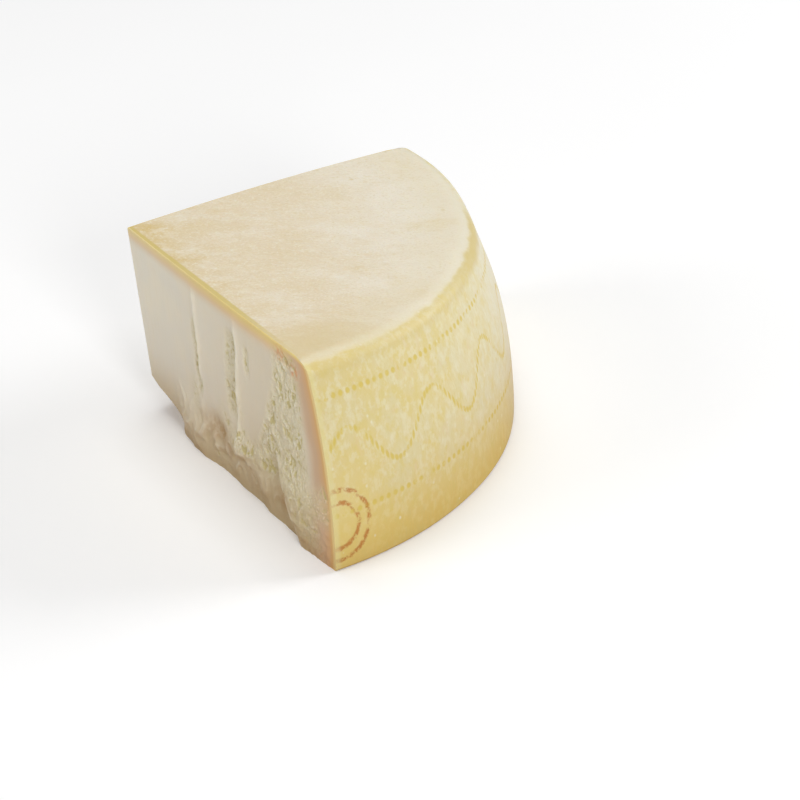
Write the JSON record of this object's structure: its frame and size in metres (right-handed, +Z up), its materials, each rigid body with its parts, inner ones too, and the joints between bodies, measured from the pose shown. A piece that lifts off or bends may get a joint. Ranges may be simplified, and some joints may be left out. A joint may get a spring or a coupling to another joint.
{
  "type": "hard cheese wedge",
  "caption": "Block of hard aged cheese: a quarter of a drum-shaped wheel cut level at half height, with rind on top and on the round side and a broken front cut.",
  "frame": {"origin": "middle of the base's bounding box, on the level cut that the block stands on", "axes": "+Z up along the wheel's axis; the back cut runs along +X from the point of the block, and the broken front cut runs from the same point towards -Y"},
  "size_m": [0.2279, 0.2206, 0.1122],
  "materials": {
    "cheese": "pale straw-coloured hard cheese: waxy yellow rind, dry off-white paste with fine crystals on the cuts"
  },
  "bodies": {
    "root": {"cheese_wedge": "cheese"}
  },
  "joints": []
}
